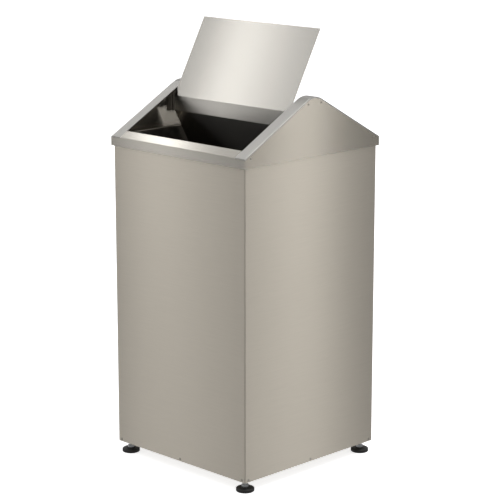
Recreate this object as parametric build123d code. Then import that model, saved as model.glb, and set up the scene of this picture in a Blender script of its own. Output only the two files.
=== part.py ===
from build123d import *
from math import cos, hypot, radians, sin, sqrt, tan
import os

os.makedirs("parts", exist_ok=True)

# A square free-standing waste bin with a roof-shaped hood and a flap that swings in it.
# X runs along the flap's pivots, the front is -Y, Z is up, and the origin is on the floor under
# the middle of the bin. Lengths are in millimetres, angles in degrees. The flap stands open.

# Sheet metal
sheet = 1.2              # body, hood and flap
fold = 1.8               # outside radius of a fold between walls
edge_fold = 1.5          # outside radius of a fold at a rim
fit = 0.05               # radial clearance of a shank, stud or pin in its hole
contact = 0.3            # gap between faces that move past each other

# Body
body_side = 400.0
body_height = 690.0
lip_width = 15.0         # top lip, turned inwards
corner_return = 25.0     # strips of the wrap behind which the back panel lies
panel_gap = 2.0          # from the back panel's edges to the side walls
mitre_gap = 0.2

# Base pan and its rivets
pan_height = 12.0
rivet_rise = 5.0         # rivets above the bottom edge
rivet_inset = 10.0       # outer rivets from the body's corners
rivet_radius = 1.6
rivet_head_radius = 3.0
rivet_head_height = 1.0

# Feet
foot_height = 25.0       # floor to the body's bottom edge
foot_inset = 19.0        # foot's axis from both walls
pad_radius = 19.5
pad_side = 6.5           # height of the pad's upright side
pad_height = 9.5
pad_crown_radius = 10.0
pad_edge = 1.0
stud_radius = 3.95       # M8 thread, plain
stud_length = 44.0
stud_seat = 4.0          # stud's lower end above the floor
stud_hex_width = 14.0
stud_hex_height = 5.5
nut_width = 13.0
nut_height = 6.5
plate_side = 40.0
plate_thickness = 3.0

# Liner
liner_sheet = 1.0
liner_gap = 1.0          # liner's wall to the edge of the body's lip
liner_corner = 12.0
liner_floor_gap = 9.0    # liner above the studs and nuts in the base
bead_radius = 2.8
bead_offset = 4.0        # bead's axis outside the liner's wall
liner_tray = 12.0

# Hood
hood_overhang = 4.5
skirt_height = 20.5
roof_slope = 28.75
ridge_radius = 47.0      # the side rails bend over the ridge about the pivot's axis
end_rail_width = 23.6    # front and back strips, along the slope
side_rail_width = 28.5
rail_flange = 14.0
rail_lip = 3.0           # lip on the gable's edge
lip_fold = 2.4           # outside radius of the lip's fold
gable_return = 13.0
rest_tab_length = 26.0   # tabs that carry the hood on the body's lip
rest_tab_inset = 19.0    # they end before the lower rivets
rest_tab_reach = 12.0    # tab's inner edge from the hood's outer face
dot_radius = 1.2
dot_head_radius = 2.2
dot_head_height = 0.8
dot_depth = 8.3          # rivets below the rail's surface
dot_eave = 14.5          # lower rivets from the eave, along the slope
dot_ridge = 1.0          # upper rivets below the ridge's bend, along the slope

# Flap
flap_angle = 90.0        # turned open from closed
flap_ridge = 33.0        # flat top of the flap
flap_side_gap = 1.3      # flap to side rails
flap_end_gap = 0.9       # swept flap to front and back rails
lug_sheet = 2.0
lug_gap = 2.5            # flap's edge to the lug's leg
lug_width = 24.0
lug_foot = 28.0          # lug's foot under the flap's ridge
lug_eye_radius = 14.0
weight_width = 20.0
weight_thickness = 5.0
weight_length = 330.0
weight_inset = 8.0       # weight's edge from the flap's edge

# Pivots
pin_radius = 4.0
pin_head_radius = 6.5
pin_head_length = 2.5
pin_tail = 3.5           # pin beyond the lug
clip_radius = 7.0
clip_thickness = 0.8
clip_groove_radius = 3.2
clip_gap = 0.6           # clip to lug
bush_wall = 1.5
bush_flange_radius = 7.0
bush_flange = 1.6
bush_tail = 1.5          # bush beyond the bracket's web
bracket_sheet = 2.0
bracket_side_gap = 0.6   # bracket's sides outside the upper rivets' tails
bracket_roof_gap = 3.4   # bracket's top corners under the ridge
bracket_drop = 22.0      # bracket's bottom below the pivot
bracket_fold = 3.0
stop_pin_radius = 1.5
stop_radius = 9.5        # stop pin's path about the pivot
stop_gap = 0.4

slope_sin, slope_cos, slope_tan = (f(radians(roof_slope)) for f in (sin, cos, tan))

body_half = body_side / 2
body_inner = body_half - sheet
body_bottom = foot_height
body_top = body_bottom + body_height
lip_inner = body_half - lip_width
back_panel_face = body_half - sheet
pan_half = body_inner
pan_back = back_panel_face - sheet
pan_floor_top = body_bottom + sheet
foot_reach = body_half - foot_inset
plate_top = pan_floor_top + plate_thickness
hole_radius = stud_radius + fit

liner_half = lip_inner - liner_gap
liner_bottom = max(stud_seat + stud_length, plate_top + nut_height) + liner_floor_gap
bead_half = liner_half + bead_offset
bead_z = body_top + liner_sheet + bead_radius - 0.4 * liner_sheet

hood_half = body_half + hood_overhang
hood_inner = hood_half - sheet
skirt_bottom = body_top - skirt_height
apex_z = body_top + hood_half * slope_tan
pivot_z = apex_z - ridge_radius / slope_cos
rail_inner = hood_half - side_rail_width
flange_inner = hood_inner - sheet
upper_rivet_y = (ridge_radius - dot_depth) * slope_sin + dot_ridge * slope_cos
bracket_half = upper_rivet_y + 1.5 * dot_radius + bracket_side_gap + bracket_sheet
bracket_rise = sqrt((ridge_radius - sheet - bracket_roof_gap) ** 2 - bracket_half**2)

flap_half = rail_inner - flap_side_gap
flap_rise = (apex_z - pivot_z) - flap_ridge / 2 * slope_tan
lug_inner = flap_half + lug_gap
lug_outer = lug_inner + lug_sheet
bush_inner = lug_outer + contact
web_inner = bush_inner + bush_flange
web_outer = web_inner + bracket_sheet
bush_outer = web_outer + bush_tail
bush_radius = pin_radius + fit + bush_wall


def swept_radius():
    """Radius about the pivot that the flap's edge may reach inside the front and back rails."""
    edge_y = hood_half - end_rail_width * slope_cos - sheet * slope_sin
    edge_z = body_top + end_rail_width * slope_sin - sheet * slope_cos - pivot_z
    return sqrt(edge_y**2 + edge_z**2) - flap_end_gap


def plate_length():
    """Length down the slope from the flap's ridge to the circle that its edge sweeps."""
    along = flap_ridge / 2 * slope_cos - flap_rise * slope_sin
    corner = (flap_ridge / 2) ** 2 + flap_rise**2
    return -along + sqrt(along**2 - corner + swept_radius() ** 2)


flap_plate = plate_length()


def block(x, y, z):
    """Box between two corners, given as pairs along each axis."""
    size = (x[1] - x[0], y[1] - y[0], z[1] - z[0])
    middle = ((x[0] + x[1]) / 2, (y[0] + y[1]) / 2, (z[0] + z[1]) / 2)
    return Pos(*middle) * Box(*size)


def along_x(profile, x0, x1):
    """Solid of a (Y, Z) profile between two X places."""
    return extrude(Plane.YZ.offset(x0) * profile, amount=x1 - x0, dir=(1, 0, 0))


def upright(profile, z0, z1):
    """Solid of an (X, Y) profile between two heights."""
    return extrude(Plane.XY.offset(z0) * profile, amount=z1 - z0, dir=(0, 0, 1))


def face_of(*edges):
    """Face inside a closed run of edges."""
    return make_face(Curve() + list(edges))


def other_side(part):
    """The same piece for the left end."""
    return mirror(part, about=Plane.YZ)


def straight_edges(part, along, across, place):
    """Edges parallel to one axis that lie at a place on another."""
    near = 0.01
    return part.edges().filter_by(along).filter_by_position(across, place - near, place + near)


def turned(profile):
    """Solid of revolution of an (r, z) profile about Z."""
    return revolve(Plane.XZ * profile, axis=Axis.Z)


def rivet(radius, head_radius, head_height, grip, place):
    """Rivet with a domed head on the surface at place, whose +Z points outwards."""
    ball = (head_radius**2 + head_height**2) / (2 * head_height)
    above = Pos(0, 0, head_height) * Cylinder(ball, 2 * head_height)
    dome = Pos(0, 0, head_height - ball) * Sphere(ball) & above
    shank = Pos(0, 0, -grip / 2) * Cylinder(radius, grip)
    tail = Pos(0, 0, -grip - head_height / 2) * Cylinder(radius * 1.5, head_height)
    return place * (dome + shank + tail)


def group(parts):
    """Separate solids in one node."""
    return Compound(children=[solid for part in parts for solid in part.solids()])


def corners():
    """Names and signs of the four feet."""
    return {
        f"{end}_{side}": (sx, sy)
        for end, sy in (("front", -1), ("back", 1))
        for side, sx in (("left", -1), ("right", 1))
    }


def at_feet(make):
    """One copy of a piece at each foot."""
    return [Pos(sx * foot_reach, sy * foot_reach, 0) * make() for sx, sy in corners().values()]


# Body


def base_rivet_places():
    """Each rivet's place on the wall, with the thickness that it holds."""
    z = body_bottom + rivet_rise
    outer = body_half - rivet_inset
    places = []
    for turn in (0, 90, 270):
        for x in (-outer, 0, outer):
            places.append((Rot(0, 0, turn) * Pos(x, -body_half, z) * Rot(90, 0, 0), 2 * sheet))
    for x in (-outer, outer):
        places.append((Rot(0, 0, 180) * Pos(x, -body_half, z) * Rot(90, 0, 0), 3 * sheet))
    places.append((Rot(0, 0, 180) * Pos(0, -back_panel_face, z) * Rot(90, 0, 0), 2 * sheet))
    return places


def base_rivet_holes():
    length = 8 * sheet
    return [place * Cylinder(rivet_radius + fit, length) for place, _ in base_rivet_places()]


def folded_shell():
    """Four walls with rounded corners and a lip turned in all round the top."""
    shell = upright(RectangleRounded(body_side, body_side, fold), body_bottom, body_top)
    shell = fillet(shell.faces().sort_by(Axis.Z)[-1].edges(), edge_fold)
    hollow = RectangleRounded(2 * body_inner, 2 * body_inner, fold - sheet)
    shell -= upright(hollow, body_bottom, body_top - sheet)
    return shell - upright(Rectangle(2 * lip_inner, 2 * lip_inner), body_bottom, body_top)


def back_sector(gap):
    """Quarter of the plan inside the walls that belongs to the back panel, mitred at its corners."""
    reach = back_panel_face
    sector = Polygon((0, gap), (reach - gap, reach), (gap - reach, reach), align=None)
    return upright(sector, body_bottom, body_top)


def body_wrap():
    opening = body_half - corner_return
    gap = block((-opening, opening), (body_inner - fold, body_half), (body_bottom, body_top))
    return folded_shell() - gap - back_sector(0) - base_rivet_holes()


def body_back_panel():
    half = body_inner - panel_gap
    panel = block((-half, half), (pan_back, back_panel_face), (body_bottom, body_top))
    lip = block((-half, half), (lip_inner, back_panel_face), (body_top - sheet, body_top))
    return panel + (lip & back_sector(mitre_gap)) - base_rivet_holes()


def base_pan():
    depth = pan_half + pan_back
    middle = (pan_back - pan_half) / 2
    outline = Pos(0, middle) * RectangleRounded(2 * pan_half, depth, fold)
    hollow = Pos(0, middle) * RectangleRounded(2 * (pan_half - sheet), depth - 2 * sheet, fold - sheet)
    pan = upright(outline, body_bottom, body_bottom + pan_height)
    pan = fillet(pan.faces().sort_by(Axis.Z)[0].edges(), edge_fold)
    pan -= upright(hollow, pan_floor_top, body_bottom + pan_height)
    holes = at_feet(lambda: Pos(0, 0, body_bottom) * Cylinder(hole_radius, 4 * sheet))
    return pan - base_rivet_holes() - holes


def base_rivets():
    return group(
        rivet(rivet_radius, rivet_head_radius, rivet_head_height, grip, place)
        for place, grip in base_rivet_places()
    )


def foot_corner_plates():
    """Square plates in the pan's corners, with a hole on each foot's axis."""
    outer = pan_back - sheet - rivet_head_height - contact
    plates = []
    middle = outer - plate_side / 2
    for sx, sy in corners().values():
        place = Pos(sx * middle, sy * middle, pan_floor_top + plate_thickness / 2)
        hole = Pos(sx * foot_reach, sy * foot_reach, plate_top) * Cylinder(hole_radius, nut_height)
        plates.append(place * Box(plate_side, plate_side, plate_thickness) - hole)
    return group(plates)


def hexagon(width, z0, z1):
    """Hexagonal prism between two heights, its corners turned down at both ends."""
    face_radius, reach = 0.475 * width, 0.6 * width
    drop = (reach - face_radius) * tan(radians(30))
    half = [(0, z0), (face_radius, z0), (reach, z0 + drop), (reach, z1 - drop), (face_radius, z1), (0, z1)]
    return upright(RegularPolygon(width / 2, 6, major_radius=False), z0, z1) & turned(
        face_of(Polyline(*half, close=True))
    )


def nut(z):
    """Nut on the axis, standing on height z."""
    return hexagon(nut_width, z, z + nut_height) - upright(Circle(hole_radius), z, z + nut_height)


# Feet


def foot_stud():
    rod = upright(Circle(stud_radius), stud_seat, stud_seat + stud_length)
    rod = chamfer(rod.faces().sort_by(Axis.Z)[-1].edges(), 0.2 * stud_radius)
    return rod + hexagon(stud_hex_width, pad_height, pad_height + stud_hex_height)


def foot_pad():
    shoulder = pad_radius - 2 * pad_edge
    pad = turned(
        face_of(
            Polyline(
                (0, 0),
                (pad_radius - pad_edge, 0),
                (pad_radius, pad_edge),
                (pad_radius, pad_side),
                (shoulder, pad_side + 1.5 * pad_edge),
                (pad_crown_radius, pad_height),
                (0, pad_height),
                close=True,
            )
        )
    )
    crown = pad.edges().filter_by(GeomType.CIRCLE)
    crown = [e for e in crown if pad_side - pad_edge < e.center().Z < pad_height - pad_edge]
    return fillet(crown, 0.8 * pad_edge) - upright(Circle(hole_radius), stud_seat, 2 * pad_height)


# Liner


def liner_wall():
    """Square tube with a flange on the body's lip and a rolled bead on the flange."""
    tube = RectangleRounded(2 * liner_half, 2 * liner_half, liner_corner)
    bore_half = liner_half - liner_sheet
    bore = RectangleRounded(2 * bore_half, 2 * bore_half, liner_corner - liner_sheet)
    flange = RectangleRounded(2 * bead_half, 2 * bead_half, liner_corner + bead_offset)
    wall = upright(tube - bore, liner_bottom, body_top + liner_sheet)
    wall += upright(flange - bore, body_top, body_top + liner_sheet)
    path = Pos(0, 0, bead_z) * flange.wire()
    start = Plane(origin=path @ 0, z_dir=path % 0)
    return wall + sweep(start * Circle(bead_radius), path=path)


def liner_floor():
    half = liner_half - liner_sheet
    radius = liner_corner - liner_sheet
    base = liner_bottom + liner_sheet
    tray = upright(RectangleRounded(2 * half, 2 * half, radius), base, base + liner_tray)
    tray = fillet(tray.faces().sort_by(Axis.Z)[0].edges(), edge_fold)
    inner = RectangleRounded(2 * (half - liner_sheet), 2 * (half - liner_sheet), radius - liner_sheet)
    return tray - upright(inner, base + liner_sheet, base + liner_tray)


# Hood


def roof_edges(inset, reach):
    """Line of the roof, set in from its surface: up a slope, over the ridge and down."""
    radius = ridge_radius - inset
    eave_z = apex_z - inset / slope_cos - reach * slope_tan
    bend_y, bend_z = radius * slope_sin, pivot_z + radius * slope_cos
    return [
        Line((-reach, eave_z), (-bend_y, bend_z)),
        ThreePointArc((-bend_y, bend_z), (0, pivot_z + radius), (bend_y, bend_z)),
        Line((bend_y, bend_z), (reach, eave_z)),
    ]


def roof_z(inset, y):
    """Height of the set-in slope at a distance y from the middle."""
    return apex_z - inset / slope_cos - y * slope_tan


def roof_depth(point):
    """How far a point lies under the roof's surface."""
    if abs(point.Y) < ridge_radius * slope_sin:
        return ridge_radius - hypot(point.Y, point.Z - pivot_z)
    return (roof_z(0, abs(point.Y)) - point.Z) * slope_cos


def roof_band(upper, lower, reach, x0, x1):
    """Solid between two set-in roof lines."""
    tie = [Line((sy * reach, roof_z(upper, reach)), (sy * reach, roof_z(lower, reach))) for sy in (-1, 1)]
    return along_x(face_of(*roof_edges(upper, reach), *roof_edges(lower, reach), *tie), x0, x1)


def front_rail():
    """Skirt and lower strip, one sheet folded at the eave, notched for the side rails."""
    eave = (-hood_half, body_top)
    inner = (-hood_half + end_rail_width * slope_cos, body_top + end_rail_width * slope_sin)
    drop = (inner[0] + sheet * slope_sin, inner[1] - sheet * slope_cos)
    profile = Polygon(
        (-hood_half, skirt_bottom),
        eave,
        inner,
        drop,
        (-hood_inner, roof_z(sheet, hood_inner)),
        (-hood_inner, skirt_bottom),
        align=None,
    )
    rail = along_x(profile, -hood_half, hood_half)
    rail = fillet(straight_edges(rail, Axis.X, Axis.Z, body_top), edge_fold)
    notch = roof_band(-sheet, sheet, hood_half, rail_inner, hood_half)
    notch += roof_band(-sheet, rail_lip, hood_half, hood_inner, hood_half)
    return rail - notch - other_side(notch)


def gable():
    """End plate under the side rail's lip, with returns behind the front and back skirts."""
    eave = roof_z(rail_lip, hood_inner)
    bottom = [
        Line((-hood_inner, eave), (-hood_inner, skirt_bottom)),
        Line((-hood_inner, skirt_bottom), (hood_inner, skirt_bottom)),
        Line((hood_inner, skirt_bottom), (hood_inner, eave)),
    ]
    plate = along_x(face_of(*roof_edges(rail_lip, hood_inner), *bottom), hood_inner, hood_half)
    across = (hood_inner - gable_return, hood_inner + sheet / 2)
    tab = block(across, (flange_inner, hood_inner), (skirt_bottom, eave))
    plate += tab + mirror(tab, about=Plane.XZ)
    return plate - hood_rivet_holes()


def side_rail():
    """Strip over the gable with a lip on its edge, a flange inside it and tabs on the body's lip."""
    rail = roof_band(0, sheet, hood_half, rail_inner, hood_half)
    rail += roof_band(0.5 * sheet, rail_lip, hood_half, hood_inner, hood_half)
    rim = rail.edges().filter_by_position(Axis.X, hood_half - sheet / 2, hood_half + sheet / 2)
    rail = fillet([e for e in rim if abs(roof_depth(e @ 0.5)) < sheet / 4], lip_fold)
    rail += roof_band(0.5 * sheet, rail_flange, flange_inner - contact, flange_inner, hood_inner)
    tab_end = hood_inner - rest_tab_inset
    for sy in (-1, 1):
        span = sorted((sy * (tab_end - rest_tab_length), sy * tab_end))
        rail += block((hood_half - rest_tab_reach, hood_inner), span, (body_top, body_top + sheet))
    return rail - hood_rivet_holes()


def hood_rivet_places():
    """Rivets at both ends of each slope on the right gable."""
    slope_length = (hood_half - ridge_radius * slope_sin) / slope_cos
    places = []
    for sy in (-1, 1):
        for along in (dot_eave, slope_length - dot_ridge):
            y = hood_half - along * slope_cos - dot_depth * slope_sin
            z = body_top + along * slope_sin - dot_depth * slope_cos
            places.append(Pos(hood_half, sy * y, z) * Rot(0, 90, 0))
    return places


def hood_rivet_holes():
    return [place * Cylinder(dot_radius + fit, 6 * sheet) for place in hood_rivet_places()]


def hood_rivets():
    right = [rivet(dot_radius, dot_head_radius, dot_head_height, 2 * sheet, p) for p in hood_rivet_places()]
    return group(right + [other_side(r) for r in right])


def pivot_bracket():
    """Channel on the rail's flange with the bush's hole and the arc slot of the stop pin."""
    height = (-bracket_drop, bracket_rise)
    shell = block((web_inner, flange_inner), (-bracket_half, bracket_half), height)
    shell = fillet(straight_edges(shell, Axis.Z, Axis.X, web_inner), bracket_fold)
    inner = bracket_half - bracket_sheet
    hollow = block((web_outer, hood_half), (-inner, inner), height)
    hollow = fillet(straight_edges(hollow, Axis.Z, Axis.X, web_outer), bracket_fold - bracket_sheet)
    path = CenterArc((0, 0), stop_radius, 180, 180)
    slot = SlotArc(path, 2 * (stop_pin_radius + stop_gap))
    cuts = along_x(slot + Circle(bush_radius + fit), web_inner, web_outer)
    return Pos(0, 0, pivot_z) * (shell - hollow - cuts)


def pivot_bush():
    barrel = along_x(Circle(bush_radius), bush_inner, bush_outer)
    barrel += along_x(Circle(bush_flange_radius), bush_inner, web_inner)
    barrel -= along_x(Circle(pin_radius + fit), bush_inner, bush_outer)
    return Pos(0, 0, pivot_z) * barrel


# Flap, built closed with its pivot at the origin, then turned open


def swung(part):
    return Pos(0, 0, pivot_z) * Rot(flap_angle, 0, 0) * part


def flap_point(along, depth):
    """Point of the back plate: down the slope from the ridge, and in from its surface."""
    y = flap_ridge / 2 + along * slope_cos - depth * slope_sin
    z = flap_rise - along * slope_sin - depth * slope_cos
    return (y, z)


def mirrored_outline(points):
    """Closed outline from its half on the +Y side."""
    return Polygon(*points, *[(-y, z) for y, z in reversed(points)], align=None)


def flap_panel():
    half_ridge = flap_ridge / 2
    inner_corner = (half_ridge - sheet * tan(radians(roof_slope / 2)), flap_rise - sheet)
    outline = mirrored_outline(
        [(half_ridge, flap_rise), flap_point(flap_plate, 0), flap_point(flap_plate, sheet), inner_corner]
    )
    panel = along_x(outline, -flap_half, flap_half)
    return swung(fillet(straight_edges(panel, Axis.X, Axis.Z, flap_rise), edge_fold))


def flap_lug():
    """Foot under the flap's ridge, with a leg down to the pivot."""
    top = flap_rise - sheet
    half = lug_width / 2
    foot = block((lug_outer - lug_foot, lug_outer), (-half, half), (top - lug_sheet, top))
    leg = block((lug_inner, lug_outer), (-half, half), (0, top))
    lug = leg + along_x(Circle(lug_eye_radius), lug_inner, lug_outer) + foot
    lug = fillet(straight_edges(lug, Axis.Y, Axis.Z, top).sort_by(Axis.X)[-1], edge_fold)
    holes = Circle(pin_radius + fit) + Pos(0, -stop_radius) * Circle(stop_pin_radius + fit)
    return swung(lug - along_x(holes, lug_inner, lug_outer))


def pivot_pin():
    """Headed pin from behind the bracket's web, through bush and lug, with a clip groove."""
    head_start = bush_outer + contact
    tail = lug_inner - pin_tail
    groove = lug_inner - clip_gap
    pin = along_x(Circle(pin_radius), tail, head_start)
    pin += along_x(Circle(pin_head_radius), head_start, head_start + pin_head_length)
    ring = Circle(2 * pin_radius) - Circle(clip_groove_radius)
    return swung(pin - along_x(ring, groove - clip_thickness, groove))


def pivot_clip():
    """Open ring in the pin's groove."""
    mouth = Pos(0, -clip_radius / 2) * Rectangle(1.6 * clip_groove_radius, clip_radius)
    ring = Circle(clip_radius) - Circle(clip_groove_radius + fit) - mouth
    groove = lug_inner - clip_gap
    return swung(along_x(ring, groove - clip_thickness, groove))


def stop_pin():
    pin = along_x(Pos(0, -stop_radius) * Circle(stop_pin_radius), lug_inner, web_outer)
    return swung(pin)


def flap_weight(side):
    """Bar inside the lower edge of one plate."""
    far = flap_plate - weight_inset
    near = far - weight_width
    depth = sheet + weight_thickness
    outline = Polygon(
        *(flap_point(along, d) for along, d in ((near, sheet), (far, sheet), (far, depth), (near, depth))),
        align=None,
    )
    bar = along_x(outline, -weight_length / 2, weight_length / 2)
    return swung(bar if side > 0 else mirror(bar, about=Plane.XZ))


pieces = {
    "body_wrap": body_wrap(),
    "body_back_panel": body_back_panel(),
    "base_pan": base_pan(),
    "base_rivets": base_rivets(),
    "foot_corner_plates": foot_corner_plates(),
    "foot_weld_nuts": group(at_feet(lambda: nut(plate_top))),
    "foot_lock_nuts": group(at_feet(lambda: nut(body_bottom - nut_height))),
    "liner_wall": liner_wall(),
    "liner_floor": liner_floor(),
    "hood_front_rail": front_rail(),
    "hood_back_rail": mirror(front_rail(), about=Plane.XZ),
    "hood_rivets": hood_rivets(),
    "flap_panel": flap_panel(),
    "flap_weight_front": flap_weight(-1),
    "flap_weight_back": flap_weight(1),
}
for name, (sx, sy) in corners().items():
    place = Pos(sx * foot_reach, sy * foot_reach, 0)
    pieces[f"foot_stud_{name}"] = place * foot_stud()
    pieces[f"foot_pad_{name}"] = place * foot_pad()
for name, make in {
    "hood_gable": gable,
    "hood_side_rail": side_rail,
    "pivot_bracket": pivot_bracket,
    "pivot_bush": pivot_bush,
    "flap_lug": flap_lug,
    "pivot_pin": pivot_pin,
    "pivot_clip": pivot_clip,
    "stop_pin": stop_pin,
}.items():
    right = make()
    pieces[f"{name}_right"] = right
    pieces[f"{name}_left"] = other_side(right)

for name, piece in pieces.items():
    export_step(piece, f"parts/{name}.step")
print(f"{len(pieces)} pieces, flap pivot at z = {pivot_z:.2f}, flap edge sweeps {swept_radius():.2f}")
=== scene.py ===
import math

import bpy
import numpy as np
from mathutils import Matrix, Vector

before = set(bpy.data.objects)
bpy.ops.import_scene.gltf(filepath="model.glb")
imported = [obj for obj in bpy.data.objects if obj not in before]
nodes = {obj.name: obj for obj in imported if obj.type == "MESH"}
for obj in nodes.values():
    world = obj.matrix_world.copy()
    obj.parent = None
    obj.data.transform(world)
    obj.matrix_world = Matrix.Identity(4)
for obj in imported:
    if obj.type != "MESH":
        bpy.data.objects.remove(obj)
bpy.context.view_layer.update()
scene = bpy.context.scene
print("frame loaded:", len(nodes), "nodes")

mm = 0.001
white = (1, 1, 1, 1)


def linearColour(hexText):
    # sRGB hex text to linear red, green, blue and full alpha
    channels = [int(hexText[i:i + 2], 16) / 255 for i in (1, 3, 5)]
    linear = [c / 12.92 if c <= 0.04045 else ((c + 0.055) / 1.055) ** 2.4 for c in channels]
    return (*linear, 1.0)


def around(middle, depth):
    # ends of a Map Range that swings by depth to either side of the middle
    return {"To Min": middle - depth, "To Max": middle + depth}


def addNode(tree, kind, sockets=None, **settings):
    # one node, with its settings, its socket values and its incoming links
    node = tree.nodes.new(kind)
    for key, value in settings.items():
        setattr(node, key, value)
    for key, value in (sockets or {}).items():
        if isinstance(value, bpy.types.NodeSocket):
            tree.links.new(value, node.inputs[key])
        else:
            node.inputs[key].default_value = value
    return node


def newMaterial(name):
    material = bpy.data.materials.new(name)
    material.use_nodes = True
    material.node_tree.nodes.clear()
    return material


# Camera, where the photograph was taken from

cameraSet = {
    "place": (2.8245, -2.8153, 1.3823),
    "azimuth": 44.943,       # degrees from the +Y direction towards -X
    "pitch": -12.997,        # degrees above the level
    "lens": 134.65,          # mm
    "sensor": 36.0,          # mm
    "near": 0.05,
    "far": 60.0,
}


def makeCamera(values):
    data = bpy.data.cameras.new("photoCamera")
    data.lens, data.sensor_width = values["lens"], values["sensor"]
    data.clip_start, data.clip_end = values["near"], values["far"]
    camera = bpy.data.objects.new("photoCamera", data)
    camera.location = values["place"]
    tilt, turn = math.radians(90 + values["pitch"]), math.radians(values["azimuth"])
    camera.rotation_euler = (tilt, 0, turn)
    scene.collection.objects.link(camera)
    scene.camera = camera


makeCamera(cameraSet)
scene.view_settings.view_transform = "Standard"
print("camera placed")


# Studio: white backdrop to the eye, a dim room to the metal, and softboxes

studio = {
    "horizon": 0.34,         # world's level at the height of the object
    "zenith": 0.92,          # and overhead
    "zenithFrom": 0.9,       # sine of the angle above the level from which the zenith's holds
    "floorSize": 24.0,       # metres
    "floorColour": "#F2F2F2",
    "floorLift": 0.72,       # share of the floor's white that shadows leave
}

# place and facing are points, long is the direction of the long side, size is width and length
# in metres, and power is in watts. The tall ones reach below the floor, so that they light the
# walls at the foot much as at the top. They lean by as much as keeps their reflections upright.
# The two arches carry on the front one overhead, for the surfaces that look up, and the last
# one lights the hood's side rails.
softboxes = {
    "frontLeft": {
        "place": (-2.11, -2.22, -0.4), "facing": (0, 0, -0.4), "long": (-0.17, 0, 1),
        "size": (0.12, 8.0), "power": 7.0},
    "backRight": {
        "place": (2.34, 2.08, -0.4), "facing": (0, 0, -0.4), "long": (0, 0.13, 1),
        "size": (0.12, 8.0), "power": 9.5},
    "backLeft": {
        "place": (-2.34, 2.18, -0.4), "facing": (0, 0, -0.4), "long": (0, 0, 1),
        "size": (0.35, 8.0), "power": 3.0},
    "frontRight": {
        "place": (2.18, -2.34, -0.4), "facing": (0, 0, -0.4), "long": (0, 0, 1),
        "size": (0.35, 8.0), "power": 3.0},
    "lowArch": {
        "place": (-2.19, -1.56, 2.36), "facing": (0, 0, 0.8), "long": (0.26, 0.71, 0.71),
        "size": (0.12, 1.7), "power": 2.2},
    "highArch": {
        "place": (-2.56, 0.38, 2.97), "facing": (0, 0, 0.8), "long": (0, 0.98, -0.17),
        "size": (0.16, 1.7), "power": 3.4},
    "overRight": {
        "place": (1.5, 0.35, 3.3), "facing": (0, 0, 0.8), "long": (0, 1, 0),
        "size": (0.5, 1.6), "power": 17.0},
}


def makeWorld(values):
    # brighter towards the zenith, and plain white where the camera looks straight at it
    world = bpy.data.worlds.new("studioRoom")
    world.use_nodes = True
    tree = world.node_tree
    tree.nodes.clear()
    direction = addNode(tree, "ShaderNodeTexCoord").outputs["Generated"]
    height = addNode(tree, "ShaderNodeSeparateXYZ", {"Vector": direction}).outputs["Z"]
    level = addNode(tree, "ShaderNodeMapRange", {
        "Value": height, "From Min": 0.0, "From Max": values["zenithFrom"],
        "To Min": values["horizon"], "To Max": values["zenith"]},
        interpolation_type="SMOOTHSTEP")
    room = addNode(tree, "ShaderNodeBackground", {
        "Color": white, "Strength": level.outputs["Result"]})
    backdrop = addNode(tree, "ShaderNodeBackground", {"Color": white, "Strength": 1.0})
    ray = addNode(tree, "ShaderNodeLightPath").outputs["Is Camera Ray"]
    mix = addNode(tree, "ShaderNodeMixShader", {
        0: ray, 1: room.outputs[0], 2: backdrop.outputs[0]})
    addNode(tree, "ShaderNodeOutputWorld", {"Surface": mix.outputs[0]})
    scene.world = world


def makeSoftbox(name, values):
    data = bpy.data.lights.new(name, "AREA")
    data.shape = "RECTANGLE"
    data.size, data.size_y = values["size"]
    data.energy = values["power"]
    back = (Vector(values["place"]) - Vector(values["facing"])).normalized()
    side = Vector(values["long"]).cross(back).normalized()
    turn = Matrix((side, back.cross(side), back)).transposed()
    lamp = bpy.data.objects.new(name, data)
    lamp.matrix_world = Matrix.Translation(values["place"]) @ turn.to_4x4()
    lamp.visible_camera = False
    scene.collection.objects.link(lamp)


def makeFloor(values):
    # flat sheet of paper: four corners of a square
    half = values["floorSize"] / 2
    corners = np.array([(-half, -half, 0), (half, -half, 0), (half, half, 0), (-half, half, 0)])
    mesh = bpy.data.meshes.new("paperFloor")
    mesh.from_pydata(corners.tolist(), [], [(0, 1, 2, 3)])
    floor = bpy.data.objects.new("paperFloor", mesh)
    scene.collection.objects.link(floor)
    material = newMaterial("studioPaper")    # matt white paper: gives the eye a soft grey shadow
    tree = material.node_tree
    paper = addNode(tree, "ShaderNodeBsdfDiffuse", {"Color": linearColour(values["floorColour"])})
    lift = addNode(tree, "ShaderNodeEmission", {"Color": white, "Strength": values["floorLift"]})
    both = addNode(tree, "ShaderNodeAddShader", {0: paper.outputs[0], 1: lift.outputs[0]})
    ray = addNode(tree, "ShaderNodeLightPath").outputs["Is Camera Ray"]
    mix = addNode(tree, "ShaderNodeMixShader", {0: ray, 1: paper.outputs[0], 2: both.outputs[0]})
    addNode(tree, "ShaderNodeOutputMaterial", {"Surface": mix.outputs[0]})
    mesh.materials.append(material)
    floor.visible_glossy = floor.visible_shadow = False    # the softboxes reach below it


makeWorld(studio)
for name, values in softboxes.items():
    makeSoftbox(name, values)
makeFloor(studio)
print("studio made")


# Materials

streakSpan = {"From Min": 0.25, "From Max": 0.75}    # where nearly all of a noise lies
cloudSpan = {"From Min": 0.3, "From Max": 0.7}       # the same for a smoother noise


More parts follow.
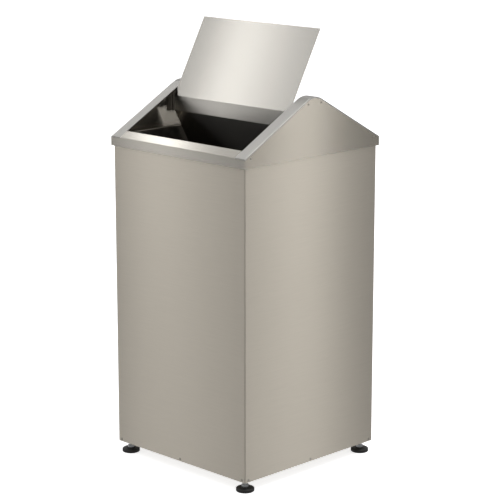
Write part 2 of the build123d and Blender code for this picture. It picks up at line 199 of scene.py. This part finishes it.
def brushedSheet(name, values):
    # stainless sheet, brushed with a belt: gives the eye soft bands of light square to the grain,
    # and fine streaks along it
    material = newMaterial(name)
    tree = material.node_tree
    place = addNode(tree, "ShaderNodeTexCoord").outputs["Object"]
    level = values["grain"] == "level"
    along, across = 1 / (values["streakLength"] * mm), 1 / (values["streakWidth"] * mm)
    scale = (along, along, across) if level else (across, along, along)
    streakPlace = addNode(tree, "ShaderNodeMapping", {"Vector": place, "Scale": scale})
    streak = addNode(tree, "ShaderNodeTexNoise", {
        "Vector": streakPlace.outputs[0], "Scale": 1.0, "Detail": 3.0,
        "Roughness": 0.65}).outputs["Fac"]
    cloud = addNode(tree, "ShaderNodeTexNoise", {
        "Vector": place, "Scale": 1 / (values["cloudSize"] * mm), "Detail": 2.0,
        "Roughness": 0.5}).outputs["Fac"]
    streakTint = addNode(tree, "ShaderNodeMapRange", {
        "Value": streak, **streakSpan, **around(1, values["streakDepth"])})
    cloudTint = addNode(tree, "ShaderNodeMapRange", {
        "Value": cloud, **cloudSpan, **around(1, values["cloudDepth"])})
    tint = addNode(tree, "ShaderNodeMath", {
        0: streakTint.outputs[0], 1: cloudTint.outputs[0]}, operation="MULTIPLY")
    colour = addNode(tree, "ShaderNodeVectorMath", {
        0: linearColour(values["colour"])[:3], "Scale": tint.outputs[0]}, operation="SCALE")
    rough = addNode(tree, "ShaderNodeMapRange", {
        "Value": streak, **streakSpan, **around(values["roughness"], values["roughnessDepth"])})
    normal = addNode(tree, "ShaderNodeNewGeometry").outputs["Normal"]
    axis = (0, 0, 1) if level else (1, 0, 0)
    tangent = addNode(tree, "ShaderNodeVectorMath", {
        0: axis, 1: normal}, operation="CROSS_PRODUCT")
    tangent = addNode(tree, "ShaderNodeVectorMath", {    # never quite zero on a level face
        0: tangent.outputs[0], 1: (0.001, 0.0005, 0)}, operation="ADD")
    bump = addNode(tree, "ShaderNodeBump", {
        "Height": streak, "Strength": values["bump"], "Distance": values["bumpDepth"] * mm})
    shader = addNode(tree, "ShaderNodeBsdfPrincipled", {
        "Base Color": colour.outputs[0], "Roughness": rough.outputs[0],
        "Normal": bump.outputs[0], "Tangent": tangent.outputs[0], "Metallic": 1.0,
        "Anisotropic": values["anisotropy"], "Anisotropic Rotation": values["turn"]})
    addNode(tree, "ShaderNodeOutputMaterial", {"Surface": shader.outputs[0]})
    return material


stainless = {
    "colour": "#C3BCB0",
    "grain": "level",            # level on walls and flap, slope along the rails
    "streakLength": 70.0,        # mm
    "streakWidth": 1.6,          # mm; real scratches are near 0.1 mm, and this is as fine as shows
    "streakDepth": 0.03,
    "cloudSize": 260.0,          # mm, slow unevenness of the sheet
    "cloudDepth": 0.012,
    "roughness": 0.30,
    "roughnessDepth": 0.02,
    "bump": 0.08,
    "bumpDepth": 0.05,           # mm
    "anisotropy": 1.0,
    "turn": 0.25,                # quarter turn, so that light spreads square to the grain
}
hood = {**stainless, "colour": "#B1ADA5", "roughness": 0.25}    # a finer belt than the body's

bodySheet = brushedSheet("brushedStainlessBody", stainless)
hoodSheet = brushedSheet("brushedStainlessSkirt", hood)
gableSheet = brushedSheet("brushedStainlessGable", {**hood, "colour": "#AFA99E"})
flapSheet = brushedSheet("brushedStainlessFlap", {**hood, "colour": "#B1AEA8"})
railSheet = brushedSheet("brushedStainlessRail", {
    **stainless, "colour": "#ABA9A5", "grain": "slope"})


def galvanisedSheet(name, values):
    # hot-dip galvanised sheet: gives the eye flat grey crystals, each a little lighter or darker
    # than the next
    material = newMaterial(name)
    tree = material.node_tree
    place = addNode(tree, "ShaderNodeTexCoord").outputs["Object"]
    crystal = addNode(tree, "ShaderNodeTexVoronoi", {
        "Vector": place, "Scale": 1 / (values["crystal"] * mm)})
    grey = addNode(tree, "ShaderNodeSeparateColor", {"Color": crystal.outputs["Color"]}).outputs[0]
    tint = addNode(tree, "ShaderNodeMapRange", {
        "Value": grey, **around(1, values["crystalDepth"])})
    colour = addNode(tree, "ShaderNodeVectorMath", {
        0: linearColour(values["colour"])[:3], "Scale": tint.outputs[0]}, operation="SCALE")
    rough = addNode(tree, "ShaderNodeMapRange", {
        "Value": grey, **around(values["roughness"], values["roughnessDepth"])})
    shader = addNode(tree, "ShaderNodeBsdfPrincipled", {
        "Base Color": colour.outputs[0], "Roughness": rough.outputs[0], "Metallic": 1.0})
    addNode(tree, "ShaderNodeOutputMaterial", {"Surface": shader.outputs[0]})
    return material


# crystal is their size in mm
# the liner's dark grey is painted shade for the shaded inside of the bin; plain galvanised sheet
# is as pale as the brackets'
linerPaintedShade = galvanisedSheet("galvanisedLinerPaintedShade", {       # liner: dull, and darkened as painted shade
    "colour": "#78736B", "crystal": 9.0, "crystalDepth": 0.12,
    "roughness": 0.42, "roughnessDepth": 0.06})
bracketZinc = galvanisedSheet("galvanisedBracketSteel", {    # brackets, lugs, plates: the plain pale grey of galvanised sheet
    "colour": "#B4B2AE", "crystal": 6.0, "crystalDepth": 0.10,
    "roughness": 0.40, "roughnessDepth": 0.06})


def speckled(name, values):
    # turned, plated, painted or moulded surface: gives the eye a fine even speckle
    material = newMaterial(name)
    tree = material.node_tree
    place = addNode(tree, "ShaderNodeTexCoord").outputs["Object"]
    speck = addNode(tree, "ShaderNodeTexNoise", {
        "Vector": place, "Scale": 1 / (values["speck"] * mm), "Detail": 2.0,
        "Roughness": 0.6}).outputs["Fac"]
    tint = addNode(tree, "ShaderNodeMapRange", {
        "Value": speck, **cloudSpan, **around(1, values["speckDepth"])})
    colour = addNode(tree, "ShaderNodeVectorMath", {
        0: linearColour(values["colour"])[:3], "Scale": tint.outputs[0]}, operation="SCALE")
    rough = addNode(tree, "ShaderNodeMapRange", {
        "Value": speck, **cloudSpan, **around(values["roughness"], values["roughnessDepth"])})
    bump = addNode(tree, "ShaderNodeBump", {
        "Height": speck, "Strength": values["bump"], "Distance": values["bumpDepth"] * mm})
    shader = addNode(tree, "ShaderNodeBsdfPrincipled", {
        "Base Color": colour.outputs[0], "Roughness": rough.outputs[0],
        "Normal": bump.outputs[0], "Metallic": values["metallic"]})
    addNode(tree, "ShaderNodeOutputMaterial", {"Surface": shader.outputs[0]})
    return material


# speck and bumpDepth are in mm, and the specks are drawn coarser than real ones so that they show
zincPlate = speckled("zincPlatedSteel", {            # bright cold grey of nuts, studs and pins
    "colour": "#C9CBCC", "speck": 0.8, "speckDepth": 0.06, "roughness": 0.34,
    "roughnessDepth": 0.04, "bump": 0.1, "bumpDepth": 0.05, "metallic": 1.0})
rivetSteel = speckled("stainlessRivet", {            # warm grey, darker than the sheet round it
    "colour": "#A9A49B", "speck": 0.6, "speckDepth": 0.05, "roughness": 0.36,
    "roughnessDepth": 0.04, "bump": 0.1, "bumpDepth": 0.04, "metallic": 1.0})
polyamide = speckled("blackMouldedPolyamide", {      # near-black feet with a soft dull shine
    "colour": "#1B1A19", "speck": 0.7, "speckDepth": 0.12, "roughness": 0.48,
    "roughnessDepth": 0.04, "bump": 0.25, "bumpDepth": 0.08, "metallic": 0.0})
nylon = speckled("naturalNylon", {                   # milky, unpainted bushes
    "colour": "#D9D5CA", "speck": 1.2, "speckDepth": 0.03, "roughness": 0.42,
    "roughnessDepth": 0.04, "bump": 0.1, "bumpDepth": 0.05, "metallic": 0.0})
lacquer = speckled("blackLacquerOnSteel", {          # dipped weights, a little uneven
    "colour": "#232323", "speck": 1.5, "speckDepth": 0.10, "roughness": 0.38,
    "roughnessDepth": 0.04, "bump": 0.15, "bumpDepth": 0.06, "metallic": 0.0})

# finish by the start of a node's name
finishes = {
    "body_wrap": bodySheet, "body_back_panel": bodySheet, "base_pan": bodySheet,
    "hood_front_rail": hoodSheet, "hood_back_rail": hoodSheet,
    "hood_gable": gableSheet, "hood_side_rail": railSheet, "flap_panel": flapSheet,
    "liner_wall": linerPaintedShade, "liner_floor": linerPaintedShade,
    "foot_corner_plates": bracketZinc, "pivot_bracket": bracketZinc, "flap_lug": bracketZinc,
    "base_rivets": rivetSteel, "hood_rivets": rivetSteel,
    "foot_weld_nuts": zincPlate, "foot_lock_nuts": zincPlate, "foot_stud": zincPlate,
    "pivot_pin": zincPlate, "pivot_clip": zincPlate, "stop_pin": zincPlate,
    "foot_pad": polyamide, "pivot_bush": nylon, "flap_weight": lacquer,
}
for name, piece in nodes.items():
    matches = [start for start in finishes if name.startswith(start)]
    piece.data.materials.clear()
    piece.data.materials.append(finishes[max(matches, key=len)])
print("finishes given")
